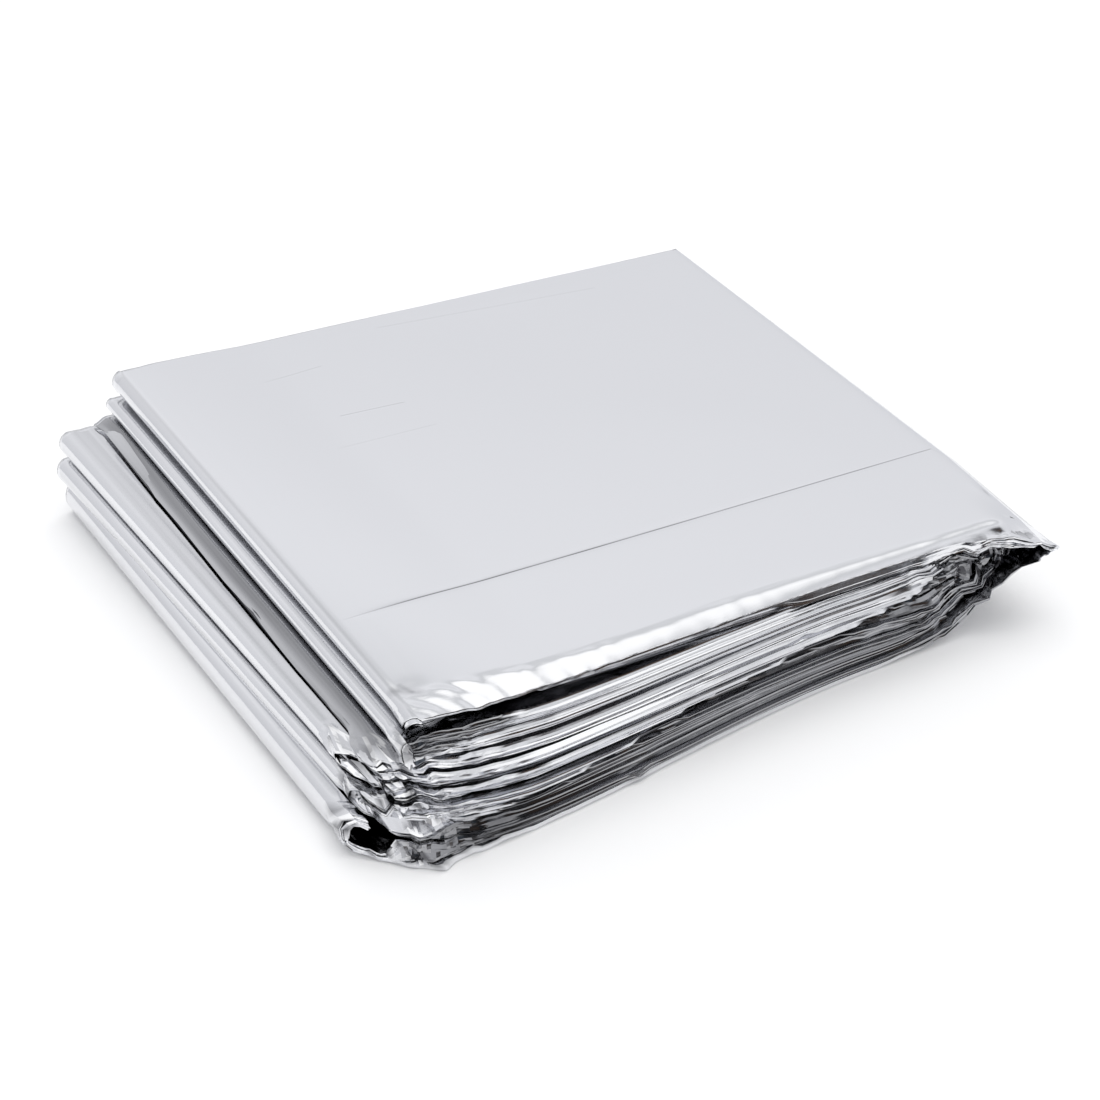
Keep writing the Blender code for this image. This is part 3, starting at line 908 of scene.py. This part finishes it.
def edge_painted_darkness(column, points):
    """How dark the fold edges at the front are painted, by row, from 0 to 1: painted shade and painted dark
    reflections.
    """
    x, _, z = points.T
    layer = strip.first
    at_rim = (layer == TOP_LAYER) | (strip.second == FLOOR_LAYER)
    inner_turn = ~strip.flat & (strip.x > TURNS_FROM_X) & ~at_rim
    # Painted shade in the hollow at the right and on the plies under the top one
    to_right = PAINTED_DARK["right"] * rise(x, 112.0, 14.0) * np.isin(layer, range(1, FLOOR_LAYER))
    under_rim = PAINTED_DARK["top_edges"] * (column.ply > 0) * rise(x, 90.0, -20.0) * rise(x, 2.0, 6.0)
    nose = column.ply // 2
    # Painted dark reflection on the lower third, blacker in the band along its upper limit
    third = (PAINTED_DARK["third"] + PAINTED_DARK["third_left"] * rise(x, 34.0, -20.0)) * smooth(dark_depth(nose) / 0.4)
    third = np.where(in_dark_band(nose), PAINTED_DARK["band"], third) * rise(z, 0.9, 0.4) * strip.flat
    third = third * rise(x, -4.0, 4.0) * (1.0 - 0.3 * np.minimum(crumple_weight(points), 1.0))
    # Painted shade in the inner turns, lighter in spots as painted glints
    glints = PAINTED_DARK["turn"] + 0.3 * kinks_of(column.ply, 1.7, 1.6, 39, 3.0)
    dark = np.maximum.reduce([to_right, third, PAINTED_DARK["stripe"] * in_stripe(x, z),
                              PAINTED_DARK["flap"] * in_flap(x, z), facet_painted_reflection(points, 0.0)])
    return np.where(IN_TOP, under_rim, np.where(inner_turn, np.clip(glints, 0.0, 0.95), dark))


def crease_painted_shade(x):
    """How dark the painted shade along the crease across the top is, from left to right."""
    strength = (1.0 - 0.35 * rise(x, 55.0, 30.0)) * rise(x, 2.0, 18.0)
    return strength * (0.85 + 0.15 * wander(x, 9.0, 37)) * rise(x, 137.0, -4.0)


def ply_painted_darkness(column, points):
    """How dark a ply is painted, by row, from 0 to 1: painted shade, least where it shows, most between the
    folds.
    """
    x, y, z = points.T
    layer = strip.first
    shown = SHOWN_PLY[layer] == column.ply
    within = min(column.from_front, column.from_back)
    deep = rise(within, 0.6, 1.8)
    open_corner = rise(x, 9.0, -5.0) * (1.0 - rise(within, 3.0, 5.0))
    value = deep * (1.0 - open_corner * (0.3 + 0.5 * rise(z, 5.5, 2.0)))
    # Fine lengthwise streaks of painted shade on the lips at the left
    streaks = 0.12 + 0.13 * wander(strip.path + 0.003 * y, 0.5, 38) * (1.0 + 0.5 * wander(y, 30.0, 39))
    streaks = streaks * rise(x, 12.0, -6.0)
    # Painted shade under the lip or end that covers each layer, with a grey base in the valley
    for covered in COVERS:
        rows = (layer == covered) & strip.flat & shown
        past = x - cover_x(covered, y)
        shade = PAINTED_DARK["lips"] * smooth(past / 2.6)
        base = 0.0
        if covered == VALLEY_LAYER:
            shade = 0.24 * smooth(past / 3.2) + 0.2 * rise(past, 2.6, 1.2)
            base = 0.3
        value[rows] = (streaks + base + (1.0 - base) * shade * deep)[rows]
    folds = ~strip.flat & shown & (strip.x < TURNS_FROM_X)
    value[folds] = streaks[folds]
    # Painted shade in the black stripe under the rim
    stripe = PAINTED_DARK["stripe"] * in_stripe(x, z) * (column.from_front < 9.0)
    value = np.where(IN_TOP, value, np.maximum(value, stripe))
    outer = shown & OUTERMOST
    value[outer] = 0.0
    at_left = outer & (layer == FLOOR_LAYER)
    value[at_left] = streaks[at_left]
    # Painted shade under the pointed tip
    tip = rise(x, 131.0, 4.0) * rise(z, 13.0, 1.5) * rise(z, 17.4, -0.6) * rise(y, 8.0, -3.0)
    value[outer] = np.maximum(value, PAINTED_DARK["tip"] * tip)[outer]
    facets_dark = PAINTED_DARK["facets"] * facet_painted_reflection(points, column.from_front)
    value = np.where(shown & ~IN_TOP, np.maximum(value, facets_dark), value)
    # Painted shade along the crease across the top
    if column.from_front == CROSS_CREASE_Y and column.ply == 0:
        value[IN_TOP] = crease_painted_shade(x)[IN_TOP]
    return value


def painted_darkness(column, points):
    """How dark the film is painted where it lies in the folds, by row, from 0 to 1: painted shade and
    painted dark reflections.
    """
    if column.kind == "back":
        return np.zeros(strip.count)
    return (edge_painted_darkness if column.kind == "front" else ply_painted_darkness)(column, points)


def facets_of(column, points):
    """How far the film is folded into flat facets, by row, from 0 to 1."""
    x, y, _ = points.T
    weight = crumple_weight(points) * edge_fade(column.from_front, True) * ~IN_TOP
    tip = 0.8 * rise(x, 126.0, 6.0) * rise(y, 10.0, -4.0) * ~IN_TOP
    return unit(np.maximum(weight, tip))


def wrinkles_of(column, points):
    """How finely wrinkled the film is, by row, from 0 to 1."""
    x, y, _ = points.T
    if column.kind == "front":
        return unit(0.35 + unrest(column.ply // 2))
    lips = 0.3 * rise(x, 10.0, -6.0)
    rim = rise(y, np.interp(x, *RIM_CREASE) + 0.4, -1.0)
    rim = rim * unit(np.interp(x, *RIM_CRUMPLE) * 3.0)
    return np.maximum(np.where(IN_TOP, rim, lips), facets_of(column, points))


# From this value of facets_of on, faces are shaded flat
FLAT_SHADED_FROM = 0.3


def sheet_mesh():
    """The whole sheet as one mesh, with its painted shade and its wrinkling as attributes of its points."""
    made = columns()
    points = place_columns(made)
    used = sampling(made)
    index = -np.ones((strip.count, len(made)), int)
    places = [(row, column) for row in range(strip.count) for column in used[row]]
    rows, cols = np.array(places).T
    index[rows, cols] = np.arange(len(places))
    faces = []
    for row in range(strip.count - 1):
        faces += quads_and_fans(used[row], used[row + 1], index, row)
    verts = (points[rows, cols] - ORIGIN) * MM
    mesh = bpy.data.meshes.new("foil_blanket")
    mesh.from_pydata(verts.tolist(), [], [tuple(int(i) for i in face) for face in faces])
    mesh.update()

    def at_points(measure):
        values = [measure(column, points[:, k]) for k, column in enumerate(made)]
        return np.stack(values, axis=1)[rows, cols]

    # inside holds the painted shade of the film, by point
    for name, measure in (("inside", painted_darkness), ("wrinkled", wrinkles_of)):
        values = at_points(measure).astype(np.float32)
        mesh.attributes.new(name, "FLOAT", "POINT").data.foreach_set("value", values)
    faceted = at_points(facets_of)
    smooth_faces = [min(faceted[v] for v in face.vertices) < FLAT_SHADED_FROM for face in mesh.polygons]
    mesh.polygons.foreach_set("use_smooth", smooth_faces)
    creased = np.array([column.kind == "front" for column in made])[cols]
    sharp = [bool(creased[a] and creased[b] and cols[a] == cols[b]) for a, b in mesh.edge_keys]
    mesh.attributes.new("sharp_edge", "BOOLEAN", "EDGE").data.foreach_set("value", sharp)
    return mesh


FILM_COLOUR = (0.84, 0.845, 0.865, 1.0)
# Colour of the painted shade in the folds and creases
PAINTED_SHADE_COLOUR = (0.035, 0.035, 0.042, 1.0)
# Fine creases that show as thin lines of painted shade: both ends in millimetres, width and strength of the
# painted shade
PAINTED_CREASE_LINES = (
    ((3.6, 10.2, 26.5), (7.6, 7.6, 26.3), 2.6, 0.26),
    ((5.4, 10.8, 26.5), (6.6, 8.4, 26.4), 1.4, 0.22),
    ((21.0, 114.1, 28.9), (37.0, 115.8, 28.5), 0.5, 0.10),
    ((32.4, 95.2, 28.1), (46.4, 94.6, 27.7), 0.4, 0.22),
    ((19.8, 83.9, 28.1), (48.5, 83.9, 27.4), 0.4, 0.08),
    ((-1.6, 29.4, 18.0), (2.2, 28.6, 18.4), 0.3, 0.6),
    ((-0.2, 30.4, 18.2), (0.9, 26.6, 18.2), 0.3, 0.5),
    ((-7.2, 33.6, 11.0), (-9.6, 32.4, 6.0), 0.3, 0.25),
    ((-9.6, 32.4, 6.0), (-9.8, 35.2, 1.0), 0.3, 0.2),
    ((55.0, 126.0, 28.4), (108.0, 122.0, 27.0), 0.7, 0.07),
)


def fill_inputs(made, inputs):
    """Give a node's inputs values or outputs of other nodes, by name or by number."""
    for key, value in inputs.items():
        if hasattr(value, "is_linked"):
            made.id_data.links.new(value, made.inputs[key])
        else:
            made.inputs[key].default_value = value


def add_node(tree, kind, inputs, output=0, **settings):
    """Output of a new node with its settings and inputs."""
    made = tree.nodes.new("ShaderNode" + kind)
    for name, value in settings.items():
        setattr(made, name, value)
    fill_inputs(made, inputs)
    return made.outputs[output]


def product(tree, first, second):
    return add_node(tree, "Math", {0: first, 1: second}, operation="MULTIPLY")


def mix_colours(tree, factor, first, second):
    return add_node(tree, "Mix", {"Factor": factor, "A": first, "B": second}, "Result", data_type="RGBA")


def line_mask(tree, position, start, end, width):
    """Output that gives 1 on the line between two points and 0 beyond its width."""
    first = Vector((np.array(start) - ORIGIN) * MM)
    along = Vector((np.array(end) - ORIGIN) * MM) - first
    from_start = add_node(tree, "VectorMath", {0: position, 1: first}, "Vector", operation="SUBTRACT")
    share = add_node(tree, "VectorMath", {0: from_start, 1: along / along.length_squared}, "Value",
                     operation="DOT_PRODUCT")
    share = add_node(tree, "Math", {0: share, 1: 1.0}, operation="MULTIPLY", use_clamp=True)
    nearest = add_node(tree, "VectorMath", {"Vector": along, "Scale": share}, "Vector", operation="SCALE")
    apart = add_node(tree, "VectorMath", {0: from_start, 1: nearest}, "Value", operation="DISTANCE")
    beyond = add_node(tree, "Math", {0: apart, 1: width * MM / 2}, operation="DIVIDE")
    return add_node(tree, "Math", {0: 1.0, 1: beyond}, operation="SUBTRACT", use_clamp=True)


def film_material():
    """Mirror-like film with painted shade in the folds and on the fine creases' lines, finely wrinkled
    where it is crumpled.
    """
    material = bpy.data.materials.new("metallised_film")
    material.use_nodes = True
    tree = material.node_tree
    place = add_node(tree, "TexCoord", {}, "Object")
    # The painted shade of the film, from the inside attribute
    dark = add_node(tree, "Attribute", {}, "Fac", attribute_name="inside")
    wrinkled = add_node(tree, "Attribute", {}, "Fac", attribute_name="wrinkled")
    # Painted shade along the fine creases
    for start, end, width, strength in PAINTED_CREASE_LINES:
        mask = line_mask(tree, place, start, end, width)
        dark = add_node(tree, "Math", {0: mask, 1: strength, 2: dark},
                        operation="MULTIPLY_ADD", use_clamp=True)
    stretched = add_node(tree, "Mapping", {"Scale": (0.25, 0.5, 1.0), "Vector": place})
    wrinkles = add_node(tree, "TexNoise", {"Scale": 2200.0, "Detail": 2.0, "Vector": stretched}, "Fac")
    normal = add_node(tree, "Bump", {"Distance": 0.000035, "Height": wrinkles, "Strength": wrinkled})
    # The film's colour darkened towards the painted shade colour
    colour = mix_colours(tree, dark, FILM_COLOUR, PAINTED_SHADE_COLOUR)
    fill_inputs(tree.nodes["Principled BSDF"],
                {"Metallic": 1.0, "Roughness": 0.13, "Base Color": colour, "Normal": normal})
    return material


blanket = bpy.data.objects.new("foil_blanket", sheet_mesh())
blanket.data.materials.append(film_material())
bpy.context.scene.collection.objects.link(blanket)
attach(blanket, "root")
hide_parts("foil_sheet")

# Floor
FLOOR_HALF = 6
floor_mesh = bpy.data.meshes.new("floor")
corners = [(x * FLOOR_HALF, y * FLOOR_HALF, 0) for x, y in ((-1, -1), (1, -1), (1, 1), (-1, 1))]
floor_mesh.from_pydata(corners, [], [(0, 1, 2, 3)])
floor = bpy.data.objects.new("floor", floor_mesh)
floor.location.z = -0.0001
white = bpy.data.materials.new("floor_white")
white.use_nodes = True
fill_inputs(white.node_tree.nodes["Principled BSDF"],
            {"Base Color": (0.92, 0.92, 0.92, 1.0), "Roughness": 0.9})
floor_mesh.materials.append(white)
bpy.context.scene.collection.objects.link(floor)

# World: soft white studio, with a dark window low on the camera's side that the fold edges mirror
SKY = ((0.0, (0.74, 0.75, 0.78, 1)), (0.50, (0.82, 0.825, 0.85, 1)), (0.62, (0.90, 0.905, 0.93, 1)),
       (0.74, (0.66, 0.67, 0.69, 1)), (0.84, (1.18, 1.18, 1.18, 1)), (1.0, (1.25, 1.25, 1.25, 1)))
WINDOW_BY_HEIGHT = ((0.38, (1, 1, 1, 1)), (0.46, (0.85, 0.85, 0.85, 1)), (0.54, (0.40, 0.40, 0.40, 1)),
                    (0.64, (0, 0, 0, 1)))
WINDOW_SIDES = (("Y", 0.1, -0.25), ("X", -0.45, -0.12), ("X", 0.68, 0.56))
WINDOW_COLOURS = ((0.36, (0.11, 0.075, 0.055, 1)), (0.46, (0.028, 0.03, 0.036, 1)),
                  (0.56, (0.035, 0.042, 0.052, 1)), (0.66, (0.13, 0.15, 0.18, 1)))


def colour_ramp(tree, factor, stops):
    """Colour along stops of position and colour."""
    colour = add_node(tree, "ValToRGB", {"Fac": factor}, "Color")
    elements = colour.node.color_ramp.elements
    for element, (place, tone) in ((elements[0], stops[0]), (elements[1], stops[-1])):
        element.position = place
        element.color = tone
    for place, tone in stops[1:-1]:
        elements.new(place).color = tone
    return colour


def studio_world():
    world = bpy.data.worlds.new("studio")
    world.use_nodes = True
    tree = world.node_tree
    direction = add_node(tree, "TexCoord", {}, "Generated")
    split = add_node(tree, "SeparateXYZ", {0: direction}).node
    depth, left, right = (
        add_node(tree, "MapRange", {"Value": split.outputs[axis], "From Min": start, "From Max": end})
        for axis, start, end in WINDOW_SIDES)
    window = product(tree, depth, product(tree, left, right))
    share = product(tree, colour_ramp(tree, split.outputs["Z"], WINDOW_BY_HEIGHT), window)
    patches = add_node(tree, "TexNoise", {"Scale": 4.0, "Vector": direction}, "Fac")
    sky = colour_ramp(tree, split.outputs["Z"], SKY)
    light = mix_colours(tree, share, sky, colour_ramp(tree, patches, WINDOW_COLOURS))
    # The camera itself sees plain white
    to_camera = add_node(tree, "LightPath", {}, "Is Camera Ray")
    fill_inputs(tree.nodes["Background"], {"Color": mix_colours(tree, to_camera, light, (1, 1, 1, 1))})
    return world


bpy.context.scene.world = studio_world()

# Soft light from above, unseen in the film
light = bpy.data.lights.new("softbox_top", "AREA")
light.shape = "SQUARE"
light.size = 1.2
light.energy = 7.0
lamp = bpy.data.objects.new("softbox_top", light)
lamp.location = (0.1, 0.2, 1.4)
lamp.rotation_euler = (-lamp.location).to_track_quat("-Z", "Y").to_euler()
lamp.visible_glossy = False
bpy.context.scene.collection.objects.link(lamp)

# Camera at the photograph's angle, fitted to the packet's edges in the photo
PHOTO_WIDTH = 1100.0
FOCAL_LENGTH = 1950.0
CAMERA_PLACE = (-98.1299, -227.377, 231.5559)
LOOKS_DOWN = 34.436
LOOKS_RIGHT = 29.1115
camera_data = bpy.data.cameras.new("camera")
camera = bpy.data.objects.new("camera", camera_data)
camera_data.sensor_width = 36.0
camera_data.lens = FOCAL_LENGTH / PHOTO_WIDTH * camera_data.sensor_width
camera_data.clip_start = 0.01
camera.location = (np.array(CAMERA_PLACE) - ORIGIN) * MM
camera.rotation_euler = (math.radians(90.0 - LOOKS_DOWN), 0.0, math.radians(-LOOKS_RIGHT))
bpy.context.scene.collection.objects.link(camera)
bpy.context.scene.camera = camera
bpy.context.scene.view_settings.view_transform = "Standard"
